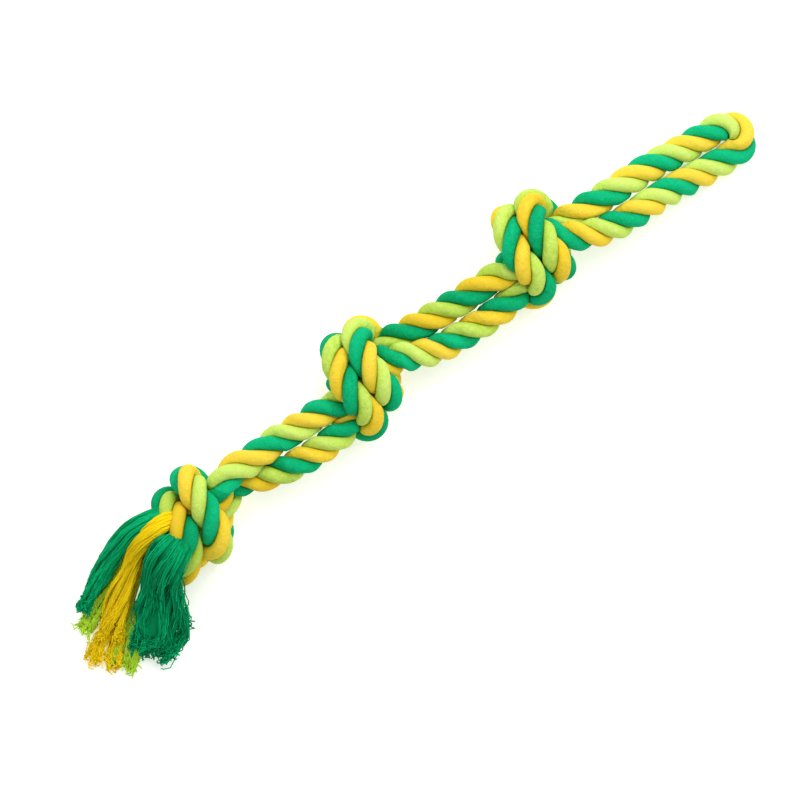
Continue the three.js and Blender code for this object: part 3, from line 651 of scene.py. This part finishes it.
def cotton(colour):
    paint = Paint(f"{colour}_cotton_strand")
    tones = COTTON[colour]
    place = paint.node("ShaderNodeTexCoord", {}, {}, output="Object")
    uv = paint.node("ShaderNodeTexCoord", {}, {}, output="UV")
    around = paint.node("ShaderNodeSeparateXYZ", {}, {0: uv}, output="X")
    along = paint.node("ShaderNodeSeparateXYZ", {}, {0: uv}, output="Y")
    wobble = paint.noise(place, WOBBLE_SCALE) * WOBBLE
    slant = around * YARNS_AROUND - along * (YARNS_AROUND / MILLIMETRES_PER_YARN_TURN) + wobble
    lines = slant.math("SINE", slant * (2 * math.pi))
    speckle = paint.noise(place, SPECKLE_SCALE, detail=3.0)
    patches = paint.masked(paint.noise(place, PATCH_SCALE), low=0.3, high=0.7)
    # Painted glints: small specks of fibres catching the light, mixed towards the pale tone.
    painted_glints = paint.masked(paint.noise(place, GLINT_SCALE), low=0.6, high=0.75)
    crease = paint.node("ShaderNodeAttribute", {"attribute_name": "crease"}, {}, output="Fac")
    # Painted shade: the colour darkens from a strand's middle towards its creases, a little at first
    # and strongly in the creases themselves.
    edge = crease.math("POWER", crease, EDGE_SHADE_POWER)
    crease_shade = crease.math("POWER", crease, CREASE_SHADE_POWER)
    fuzz = paint.masked(speckle, low=0.38, high=0.62)
    grain = fuzz * FUZZ_SHARE + paint.masked(lines, low=-1, high=1) * LINE_SHARE
    # This mix holds painted shade towards the edges as well as the cotton's own patches and grain.
    edge_shade_and_texture = edge * EDGE_SHADE_SHARE + patches * PATCH_SHARE + grain
    base = paint.mix(edge_shade_and_texture, tones["pale"], tones["full"])
    base = paint.mix(painted_glints * GLINT_SHARE, base, tones["pale"])
    # Painted shade: the creases and the grooves between the yarn lines are mixed towards the deep tone.
    shade = crease_shade * CREASE_SHADE_SHARE + paint.masked(lines, low=0.2, high=1) * LINE_SHADE
    base = paint.mix(shade, base, tones["deep"])
    height = speckle * RELIEF_SHARE - lines * RELIEF_SHARE
    bump = paint.node(
        "ShaderNodeBump", {}, {"Height": height, "Strength": 0.7, "Distance": COTTON_RELIEF}
    )
    shader = paint.node(
        "ShaderNodeBsdfPrincipled",
        {},
        {
            "Base Color": base,
            "Roughness": COTTON_ROUGHNESS,
            "Normal": bump,
            "Specular IOR Level": 0.08,
            "Sheen Weight": 0.08,
            "Sheen Roughness": 0.6,
            "Sheen Tint": tones["full"],
        },
    )
    return paint.surface(shader)


strand_cotton = {colour: cotton(colour) for colour in COTTON}
print("cottons:", ", ".join(strand_cotton))

# %% [markdown]
# ## The strands
#
# On the real toy each strand is a soft round roll that its neighbours press flat where they touch.
# It could be a curve with a round bevel, but then the strands would pass through each other. So a
# flat sheet of quads is rolled up instead: its long way follows the rope and its short way follows
# a circle, cut off at the planes where the next strands begin.

# %% One strand, rolled from a flat sheet
STRANDS = {"green": 0, "lime": -1 / 3, "yellow": -2 / 3}
ROUND_SHARE = 0.55
STRAND_SIDES = 28
PRESS_GAP = 0.00008
PRESS_POWER = 20
SAME_PLACE = 1e-7


def strand_section():
    """The strand's outline in the rope's section: out from the rope's middle, and sideways."""
    radius = ROPE_DIAMETER / 2 * ROUND_SHARE
    centre = ROPE_DIAMETER / 2 - radius
    turns = np.linspace(-math.pi, math.pi, STRAND_SIDES + 1)
    out = centre + radius * np.cos(turns)
    sideways = radius * np.sin(turns)
    limit = np.maximum(out, 0) * math.tan(math.pi / 3)
    inner = np.maximum(out, PRESS_GAP)
    pressed = np.clip(sideways, -limit, limit)
    crease = np.clip(np.abs(sideways) / np.maximum(limit, PRESS_GAP), 0, 1)
    return inner, pressed, crease


def at_stations(values, stations):
    """A value or point of the line at stations between whole ones."""
    index = np.arange(len(line))
    if values.ndim == 1:
        return np.interp(stations, index, values)
    return np.stack([np.interp(stations, index, column) for column in values.T], axis=1)


def room_at(stations, turn):
    """The room at stations between whole ones, in directions between the fan's."""
    i = np.clip(stations.astype(int), 0, len(line) - 2)
    f = stations - i
    place = (turn / (2 * math.pi) * FAN) % FAN
    k = place.astype(int) % FAN
    g = place - place.astype(int)
    after = (k + 1) % FAN
    here = rooms[i, k] * (1 - g) + rooms[i, after] * g
    beyond = rooms[i + 1, k] * (1 - g) + rooms[i + 1, after] * g
    return here * (1 - f) + beyond * f


def finished_object(name, mesh, material):
    """The mesh as a smooth object of one material, at the origin."""
    mesh.materials.append(material)
    for polygon in mesh.polygons:
        polygon.use_smooth = True
    made = bpy.data.objects.new(name, mesh)
    bpy.context.collection.objects.link(made)
    return made


def strand(name, colour, first, last):
    """A stretch of one strand between two stations of the line."""
    count = max(3, round(last - first))
    stations = np.linspace(first, last, count + 1)
    bm = bmesh.new()
    bmesh.ops.create_grid(
        bm, x_segments=count, y_segments=STRAND_SIDES, size=1, calc_uvs=True
    )
    grid = np.array([v.co[:2] for v in bm.verts])
    row = np.rint((grid[:, 0] + 1) / 2 * count).astype(int)
    side = np.rint((grid[:, 1] + 1) / 2 * STRAND_SIDES).astype(int)
    out, sideways, crease = strand_section()
    angle = at_stations(lay, stations) + 2 * math.pi * STRANDS[colour]
    start, side_way, rise_way = (at_stations(v, stations) for v in (line, sides, rises))
    cosine, sine = np.cos(angle)[:, None], np.sin(angle)[:, None]
    outward = side_way * cosine + rise_way * sine
    sideward = rise_way * cosine - side_way * sine
    reach = np.maximum(np.hypot(out, sideways), TINY)[side]
    turn = angle[row] + np.arctan2(sideways, out)[side]
    room = room_at(stations[row], turn)
    pressed = reach / (1 + (reach / room) ** PRESS_POWER) ** (1 / PRESS_POWER)
    spread = outward[row] * out[side][:, None] + sideward[row] * sideways[side][:, None]
    points = start[row] + spread * (pressed / reach)[:, None] - ORIGIN
    points[:, 2] = np.maximum(points[:, 2], 0)
    for vertex, point in zip(bm.verts, points):
        vertex.co = point
    # The crease share is kept for the cotton's painted shade in the creases.
    layer = bm.verts.layers.float.new("crease")
    for vertex, share in zip(bm.verts, crease[side]):
        vertex[layer] = share
    uv_layer = bm.loops.layers.uv.verify()
    for face in bm.faces:
        for loop in face.loops:
            u, v = loop[uv_layer].uv
            millimetres = (first + u * (last - first)) * line_step * 1000
            loop[uv_layer].uv = (v, millimetres)
    bmesh.ops.remove_doubles(bm, verts=bm.verts, dist=SAME_PLACE)
    for cap in bmesh.ops.holes_fill(bm, edges=bm.edges, sides=0)["faces"]:
        for edge in cap.edges:
            edge.smooth = False
    bmesh.ops.recalc_face_normals(bm, faces=bm.faces)
    mesh = bpy.data.meshes.new(name)
    bm.to_mesh(mesh)
    bm.free()
    return finished_object(name, mesh, strand_cotton[colour])


print("strand section points:", STRAND_SIDES)

# %% [markdown]
# ## Stretches between the hinges
#
# A real rope bends all along its length. The CAD frame bends it at two hinges between neighbouring
# knots, so each strand is made in stretches: one for each knot, which moves with the knot, and one
# across each hinge. Neighbouring stretches share their last ring, so that no seam shows.

# %% Where each stretch begins and ends, which CAD section it stands for and which hinge it crosses
TAIL_END = -0.03
HANDLE_START = 0.3765
STRETCHES = [
    ("tail_knot", TAIL_END, 0.031, "tail_knot", None),
    ("lower_link_tail_end", 0.031, 0.079, "lower_link", "tail_knot_swing"),
    ("lower_link_middle_end", 0.079, 0.127, "lower_link", "lower_link_fold"),
    ("middle_knot", 0.127, 0.1865, "middle_knot", None),
    ("upper_link_middle_end", 0.1865, 0.229, "upper_link", "upper_link_fold"),
    ("upper_link_top_end", 0.229, 0.279, "upper_link", "top_knot_swing"),
    ("top_knot", 0.279, 0.3375, "top_knot", None),
    ("handle_neck", 0.3375, HANDLE_START, "handle_link", "handle_link_fold"),
]
hinges = {joint["name"]: joint for joint in frame["joints"]}
print(len(STRETCHES), "stretches on each leg and the handle")


def crossing(x, leg):
    """The station where a leg passes a place along the toy, near the legs' own line."""
    first, last = (0, halfway) if leg == 0 else (halfway, len(line) - 1)
    reach = LEG_SPACING + ROPE_DIAMETER
    for i in range(first, last):
        here, after = line[i, 0] - x, line[i + 1, 0] - x
        off_line = math.hypot(line[i, 1] - sway_at(x), line[i, 2] - LEGS_LINE_Z)
        if here * after <= 0 and off_line < reach:
            return i + here / (here - after)
    raise ValueError(f"leg {leg} doesn't pass {x}")


def bends_over(piece, tail_body, handle_body, hinge):
    """Bakes the piece's place into its mesh; the two bodies and the hinge are not used."""
    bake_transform(piece)


# %% The strands of both legs and the handle
BODIES_OF = {
    "tail_knot_swing": ("tail_knot", "lower_link"),
    "lower_link_fold": ("lower_link", "middle_knot"),
    "upper_link_fold": ("middle_knot", "upper_link"),
    "top_knot_swing": ("upper_link", "top_knot"),
    "handle_link_fold": ("top_knot", "handle_link"),
    "handle_swing": ("handle_link", "handle"),
}


def strand_group(name, cad_names, ends, hinge):
    """The three strands of a stretch, each standing for a strand of the CAD frame."""
    group = {}
    for colour in STRANDS:
        piece = strand(f"{name}_{colour}_strand", colour, *ends)
        if hinge:
            bends_over(piece, *BODIES_OF[hinge], hinge)
        else:
            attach(piece, name.split("_leg")[0])
        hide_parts(cad_names.format(colour=colour))
        group[colour] = piece
    return group


groups = {}
for name, tail_x, handle_x, section, hinge in STRETCHES:
    for leg in (0, 1):
        ends = sorted((crossing(tail_x, leg), crossing(handle_x, leg)))
        cad_names = f"{section}_{{colour}}_leg_{leg + 1}"
        strands = strand_group(f"{name}_leg_{leg + 1}", cad_names, ends, hinge)
        groups[name, leg] = (ends, strands)
handle_ends = [crossing(HANDLE_START, leg) for leg in (0, 1)]
handle_strands = strand_group("handle_loop", "handle_{colour}_strand", handle_ends, "handle_swing")
groups["handle", 0] = (handle_ends, handle_strands)
print("strand pieces:", sum(len(strands) for ends, strands in groups.values()))

# %% [markdown]
# ## The rope's own length
#
# The rope's length is printed for each knot and leg, and once more round the handle. Its line is
# the one that the strands were laid on. The table lists the short stretches between the knots with
# the knot beside them, but they are not counted in.

WITH_KNOT = {
    "tail_knot": ["lower_link_tail_end"],
    "middle_knot": ["lower_link_middle_end", "upper_link_middle_end"],
    "top_knot": ["upper_link_top_end", "handle_neck"],
    "handle": [],
}


def declare_rope(name, leg):
    ends, strands = groups[name, leg]
    stations = np.linspace(*ends, round(ends[1] - ends[0]))
    path = at_stations(line, stations) - ORIGIN
    length = lengths_along(path)[-1]
    return length


for name in WITH_KNOT:
    for leg in (0, 1):
        if (name, leg) in groups:
            print(name, leg + 1, "rope length in metres:", round(declare_rope(name, leg), 3))

# %% [markdown]
# ## The yarn of the tassel
#
# The tassel is the six strand ends, untwisted and combed out into bunches of thin crimped yarn.
# Hair particles could make it, but they don't export as a mesh. So each bunch is a few hundred
# threads, every one a bevelled curve of its own, laid round a plain core that closes the view into
# the bunch. The core is coloured darker, as painted shade in the gaps between the locks. The yarn has
# the strands' colours, with a tone of its own for each thread.

# %% The yarn's finish
TONE_SHARE = 0.85
YARN_SPECKLE_SHARE = 0.15
YARN_LIFT = 0.12
YARN_SPECKLE_SCALE = 900.0
FIBRE_SCALE = 2600.0
YARN_RELIEF = 0.0003


def yarn(colour):
    paint = Paint(f"{colour}_cotton_yarn")
    tones = COTTON[colour]
    place = paint.node("ShaderNodeTexCoord", {}, {}, output="Object")
    tone = paint.node("ShaderNodeAttribute", {"attribute_name": "tone"}, {}, output="Fac")
    speckle = paint.masked(paint.noise(place, YARN_SPECKLE_SCALE, detail=3.0), low=0.3, high=0.7)
    brightness = tone * TONE_SHARE + speckle * YARN_SPECKLE_SHARE + YARN_LIFT
    base = paint.mix(brightness, tones["deep"], tones["yarn"])
    fibres = paint.noise(place, FIBRE_SCALE)
    bump = paint.node(
        "ShaderNodeBump", {}, {"Height": fibres, "Strength": 0.4, "Distance": YARN_RELIEF}
    )
    shader = paint.node(
        "ShaderNodeBsdfPrincipled",
        {},
        {
            "Base Color": base,
            "Roughness": COTTON_ROUGHNESS,
            "Normal": bump,
            "Specular IOR Level": 0.04,
        },
    )
    return paint.surface(shader)


yarns = {colour: yarn(colour) for colour in COTTON}
print("yarns:", ", ".join(yarns))

# %% [markdown]
# ## The bunches of the tassel
#
# Each bunch begins in the knot, hangs over its edge and lies down on the floor, as the photograph
# shows: its rows give the middle, the half width and the half depth along its way. Three bunches lie
# on top and three below them. Each one on top lifts by itself on the real toy, so it is made in two
# pieces. The threads of a bunch could all follow one
# curve, but real yarn gathers into small locks that drift together and end at different lengths.

# %% The way of each bunch, in metres
BUNCHES = {
    "green_left": {
        "colour": "green", "outer": "green_left_bunch",
        "threads": 220, "locks": 7, "twist": 0.5, "drift": 0.0012,
        "rows": [
            [-0.008, 0.014, 0.048, 0.005, 0.005],
            [-0.02, 0.0175, 0.055, 0.006, 0.006],
            [-0.035, 0.0195, 0.052, 0.0066, 0.006],
            [-0.052, 0.0165, 0.041, 0.0074, 0.006],
            [-0.069, 0.0118, 0.028, 0.0068, 0.0055],
            [-0.086, 0.005, 0.019, 0.0056, 0.0045],
            [-0.102, -0.0035, 0.012, 0.004, 0.0035],
        ],
    },
    "yellow_top": {
        "colour": "yellow", "outer": "yellow_top_bunch",
        "threads": 270, "locks": 9, "twist": 1.3, "drift": 0.0014,
        "rows": [
            [-0.004, 0.0075, 0.052, 0.005, 0.005],
            [-0.016, 0.0098, 0.0625, 0.0062, 0.006],
            [-0.032, 0.0095, 0.057, 0.0062, 0.006],
            [-0.047, 0.0045, 0.043, 0.0062, 0.006],
            [-0.063, -0.0052, 0.032, 0.007, 0.006],
            [-0.081, -0.0162, 0.021, 0.0088, 0.0055],
            [-0.099, -0.0298, 0.013, 0.0085, 0.004],
        ],
    },
    "green_right": {
        "colour": "green", "outer": "green_right_bunch",
        "threads": 520, "locks": 17, "twist": 0.35, "drift": 0.0042,
        "rows": [
            [-0.0135, -0.0075, 0.0595, 0.0095, 0.0045],
            [-0.0158, -0.0085, 0.0675, 0.0116, 0.0054],
            [-0.0225, -0.0112, 0.07, 0.0128, 0.0064],
            [-0.0325, -0.0145, 0.0605, 0.0137, 0.0076],
            [-0.0437, -0.0215, 0.041, 0.015, 0.0075],
            [-0.0565, -0.035, 0.029, 0.017, 0.0075],
            [-0.071, -0.0475, 0.019, 0.0175, 0.0065],
            [-0.084, -0.0575, 0.011, 0.0125, 0.005],
        ],
    },
    "lime_left": {
        "colour": "lime", "outer": None,
        "threads": 170, "locks": 8, "twist": 0.3, "drift": 0.002,
        "rows": [
            [-0.008, 0.0095, 0.0405, 0.0045, 0.0045],
            [-0.022, 0.0125, 0.041, 0.0055, 0.0055],
            [-0.037, 0.014, 0.036, 0.0055, 0.0055],
            [-0.05, 0.0125, 0.027, 0.0066, 0.0055],
            [-0.064, 0.0045, 0.018, 0.0074, 0.0055],
            [-0.0816, -0.0025, 0.008, 0.0066, 0.0045],
            [-0.098, -0.0094, 0.005, 0.0062, 0.004],
            [-0.1115, -0.014, 0.0042, 0.005, 0.0034],
        ],
    },
    "yellow_under": {
        "colour": "yellow", "outer": None,
        "threads": 260, "locks": 12, "twist": 0.3, "drift": 0.002,
        "rows": [
            [-0.008, 0.001, 0.0405, 0.0045, 0.0045],
            [-0.022, 0.001, 0.041, 0.0055, 0.0055],
            [-0.037, 0.0012, 0.034, 0.0055, 0.0055],
            [-0.055, -0.004, 0.02, 0.0066, 0.0055],
            [-0.08, -0.0175, 0.009, 0.0085, 0.005],
            [-0.098, -0.0295, 0.0055, 0.013, 0.0045],
            [-0.116, -0.0435, 0.0042, 0.0155, 0.0036],
        ],
    },
    "lime_right": {
        "colour": "lime", "outer": None,
        "threads": 210, "locks": 11, "twist": 0.3, "drift": 0.002,
        "rows": [
            [0.005, -0.0105, 0.039, 0.0045, 0.004],
            [-0.008, -0.0108, 0.0405, 0.005, 0.0045],
            [-0.022, -0.011, 0.041, 0.0055, 0.0055],
            [-0.037, -0.013, 0.034, 0.0055, 0.0055],
            [-0.055, -0.025, 0.018, 0.0072, 0.0055],
            [-0.078, -0.0365, 0.0085, 0.0088, 0.005],
            [-0.095, -0.0455, 0.0065, 0.0105, 0.0045],
            [-0.1075, -0.0515, 0.005, 0.0105, 0.0036],
        ],
    },
}
THREAD_RADIUS = 0.00046
THREAD_POINTS = 28
TIP_CROWDING = 1.45
CORE_SHARE = 0.6
# The core's low tone is painted shade in the gaps between the locks.
CORE_SHADE_TONE = 0.25
CORE_SIDES = 16
CORE_END_SHARE = 0.84
CRIMP = 0.00025
TIP_CRIMP = 0.0019
CRIMP_POWER = 7
CRIMP_PITCHES = (0.004, 0.0075)
LOCK_PULL = 0.5
OWN_DRIFT_SHARE = 0.3
STRAY_SHARE = 0.03
STRAY_DRIFT = 0.0045
RAGGED_SHARE = 0.09
LOCK_TONES = {"green": (0.2, 0.85), "lime": (0.8, 1.15), "yellow": (0.85, 1.2)}
THREAD_TONE = 0.25
WANDER_WAVES = (0.6, 2.2)
SEAT_SLIP = 0.2
INNER_SEAT = 0.25
ROOT_BEND = (-0.033, -0.046)
OUTER_BEND = (-0.046, -0.06)
LOW_BEND = (-0.0275, -0.0515)

# Some threads of the right green bunch stand off to one side
GREEN_TUFT = [
    [-0.03, -0.026, 0.055, 0.003, 0.003],
    [-0.041, -0.038, 0.038, 0.0028, 0.0025],
    [-0.0485, -0.048, 0.024, 0.0026, 0.0022],
    [-0.0505, -0.0565, 0.014, 0.003, 0.002],
]
TUFT_THREADS = 30
dice = np.random.default_rng(7)
print("threads:", sum(bunch["threads"] for bunch in BUNCHES.values()))


def bunch_frame(rows, count):
    """The bunch's middle, its way across and up, and its half width and half depth."""
    fine = smooth_through(rows, count)
    middle = fine[:, :3]
    along = directions(middle)
    across = unit(np.cross([0, 0, 1], along))
    return middle, across, np.cross(along, across), fine[:, 3:4], fine[:, 4:5]


def along_shares():
    """Places along a thread, closer together towards its curly tip."""
    return 1 - (1 - np.linspace(0, 1, THREAD_POINTS)) ** TIP_CROWDING


def wander(points, size):
    """A slow random drift along a thread."""
    at = np.linspace(0, 1, points)[:, None]
    waves = dice.uniform(*WANDER_WAVES, (1, 3))
    starts = dice.uniform(0, 2 * math.pi, (1, 3))
    return size * np.sin(2 * math.pi * waves * at + starts)


def thread_points(rows, seat, lock, drift, twist, reach):
    """One thread: from its seat in the root to its lock at the tip, crimped all the way."""
    middle, across, up, width, depth = bunch_frame(rows, THREAD_POINTS * 3)
    share = reach * along_shares()
    index = share * (len(middle) - 1)
    take = np.minimum(index.astype(int), len(middle) - 2)
    part = (index - take)[:, None]
    middle, across, up, width, depth = (
        values[take] * (1 - part) + values[take + 1] * part
        for values in (middle, across, up, width, depth)
    )
    gather = (LOCK_PULL * share ** 0.5)[:, None]
    place = seat * (1 - gather) + lock * gather
    turn = twist * math.pi * share
    side = place[:, 0] * np.cos(turn) - place[:, 1] * np.sin(turn)
    rise = place[:, 0] * np.sin(turn) + place[:, 1] * np.cos(turn)
    points = middle + across * width * side[:, None] + up * depth * rise[:, None]
    crimp = (CRIMP + (TIP_CRIMP - CRIMP) * share ** CRIMP_POWER)[:, None]
    length = lengths_along(points)[:, None]
    wave = 2 * math.pi * (length / dice.uniform(*CRIMP_PITCHES, (1, 3)) + dice.random((1, 3)))
    points = points + crimp * np.sin(wave) + drift * (share ** 0.5)[:, None]
    points[:, 2] = np.maximum(points[:, 2], THREAD_RADIUS)
    return points


# %% Threads and core of a bunch
def threads_object(name, threads, tones, material):
    """Many bevelled curves made one mesh, with a tone for each thread."""
    curve = bpy.data.curves.new(name, "CURVE")
    curve.dimensions = "3D"
    curve.bevel_depth = THREAD_RADIUS
    curve.bevel_resolution = 0
    curve.use_fill_caps = True
    for points in threads:
        spline = curve.splines.new("POLY")
        spline.points.add(len(points) - 1)
        placed_points = np.concatenate((points - ORIGIN, np.ones((len(points), 1))), axis=1)
        spline.points.foreach_set("co", placed_points.ravel())
    holder = bpy.data.objects.new(name, curve)
    mesh = bpy.data.meshes.new_from_object(holder)
    bpy.data.objects.remove(holder)
    mesh.name = name
    attribute = mesh.attributes.new("tone", "FLOAT", "POINT")
    each = len(mesh.vertices) // len(threads)
    attribute.data.foreach_set("value", np.repeat(tones, each).astype(np.float32))
    return finished_object(name, mesh, material)


def core_object(name, rows, first_share, last_share, material):
    """The plain body inside a bunch, a tube a little narrower than its threads, darkened as painted
    shade.
    """
    count = 3 * THREAD_POINTS
    middle, across, up, width, depth = bunch_frame(rows, count)
    keep = slice(round(first_share * count), round(last_share * count) + 1)
    middle, across, up, width, depth = (v[keep] for v in (middle, across, up, width, depth))
    bm = bmesh.new()
    rings = []
    for i in range(len(middle)):
        ring = bmesh.ops.create_circle(bm, radius=1, segments=CORE_SIDES)["verts"]
        for vertex in ring:
            side, rise = vertex.co.x, vertex.co.y
            spread = across[i] * width[i] * side + up[i] * depth[i] * rise
            vertex.co = middle[i] + CORE_SHARE * spread - ORIGIN
            vertex.co.z = max(vertex.co.z, 0)
        rings.append([edge for edge in bm.edges if edge.verts[0] in ring])
    for ring, following in zip(rings, rings[1:]):
        bmesh.ops.bridge_loops(bm, edges=ring + following)
    bmesh.ops.holes_fill(bm, edges=bm.edges, sides=0)
    bmesh.ops.recalc_face_normals(bm, faces=bm.faces)
    mesh = bpy.data.meshes.new(name)
    bm.to_mesh(mesh)
    bm.free()
    attribute = mesh.attributes.new("tone", "FLOAT", "POINT")
    attribute.data.foreach_set("value", np.full(len(mesh.vertices), CORE_SHADE_TONE, np.float32))
    return finished_object(name, mesh, material)


print("thread radius in millimetres:", THREAD_RADIUS * 1000)

# %% Comb out the six bunches
GOLDEN_TURN = math.pi * (3 - math.sqrt(5))


def seats(count):
    """Places in the unit circle, evenly around it and most of them near its rim."""
    turns = GOLDEN_TURN * np.arange(count) + dice.uniform(-SEAT_SLIP, SEAT_SLIP, count)
    reach = dice.uniform(INNER_SEAT, 1, count) ** 0.5
    return np.stack((reach * np.cos(turns), reach * np.sin(turns)), axis=1)


def combed(rows, count, bunch):
    """The threads of a bunch and their tones, gathered into locks that drift together."""
    homes = seats(bunch["locks"])
    drifts = [wander(THREAD_POINTS, bunch["drift"]) for _ in homes]
    lock_tones = dice.uniform(*LOCK_TONES[bunch["colour"]], len(homes))
    threads, tones = [], []
    for seat in seats(count):
        which = np.linalg.norm(homes - seat, axis=1).argmin()
        stray = dice.random() < STRAY_SHARE
        own = STRAY_DRIFT if stray else OWN_DRIFT_SHARE * bunch["drift"]
        drift = drifts[which] + wander(THREAD_POINTS, own)
        reach = 1 - dice.uniform(0, RAGGED_SHARE)
        threads.append(thread_points(rows, seat, homes[which], drift, bunch["twist"], reach))
        tones.append(lock_tones[which] + dice.uniform(-THREAD_TONE, THREAD_TONE))
    return threads, tones


def tassel_piece(name, mesh_object, bend):
    """Bake a piece of a bunch in place, and let it stand for the CAD frame's bunch; it is not bent."""
    place = Vector(hinges["tassel_lift"]["pos_m"])
    knot_end, tip_end = (Vector((x - ORIGIN[0], place.y, place.z)) for x in bend)
    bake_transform(mesh_object)
    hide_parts(f"tassel_{name}_bunch")


print("bunches on top:", [name for name, bunch in BUNCHES.items() if bunch["outer"]])

# %% Make each bunch, in one piece or in two
for name, bunch in BUNCHES.items():
    rows = bunch["rows"]
    threads, tones = combed(rows, bunch["threads"], bunch)
    if name == "green_right":
        tuft, tuft_tones = combed(GREEN_TUFT, TUFT_THREADS, bunch)
        threads, tones = threads + tuft, tones + tuft_tones
    material = yarns[bunch["colour"]]
    parts = [("", 0, THREAD_POINTS - 1, ("tassel", "tail_knot"), LOW_BEND)]
    if bunch["outer"]:
        middle = bunch_frame(rows, 3 * THREAD_POINTS)[0]
        seam_share = np.searchsorted(-middle[:, 0], -OUTER_BEND[0]) / len(middle)
        seam = int(np.searchsorted(along_shares(), seam_share))
        parts = [
            ("_root", 0, seam, ("tassel", "tail_knot"), ROOT_BEND),
            ("_outer", seam, THREAD_POINTS - 1, (bunch["outer"], "tassel"), OUTER_BEND),
        ]
    for part, first, last, bodies, bend in parts:
        lengths = [thread[first:last + 1] for thread in threads]
        shares = along_shares()[[first, last]]
        yarn_object = threads_object(f"tassel_{name}_yarn{part}", lengths, tones, material)
        core_shares = np.minimum(shares, CORE_END_SHARE)
        core = core_object(f"tassel_{name}_core{part}", rows, *core_shares, material)
        for piece in (yarn_object, core):
            tassel_piece(name, piece, bend)
        print(name, part, "faces:", len(yarn_object.data.polygons), "core:", len(core.data.polygons))
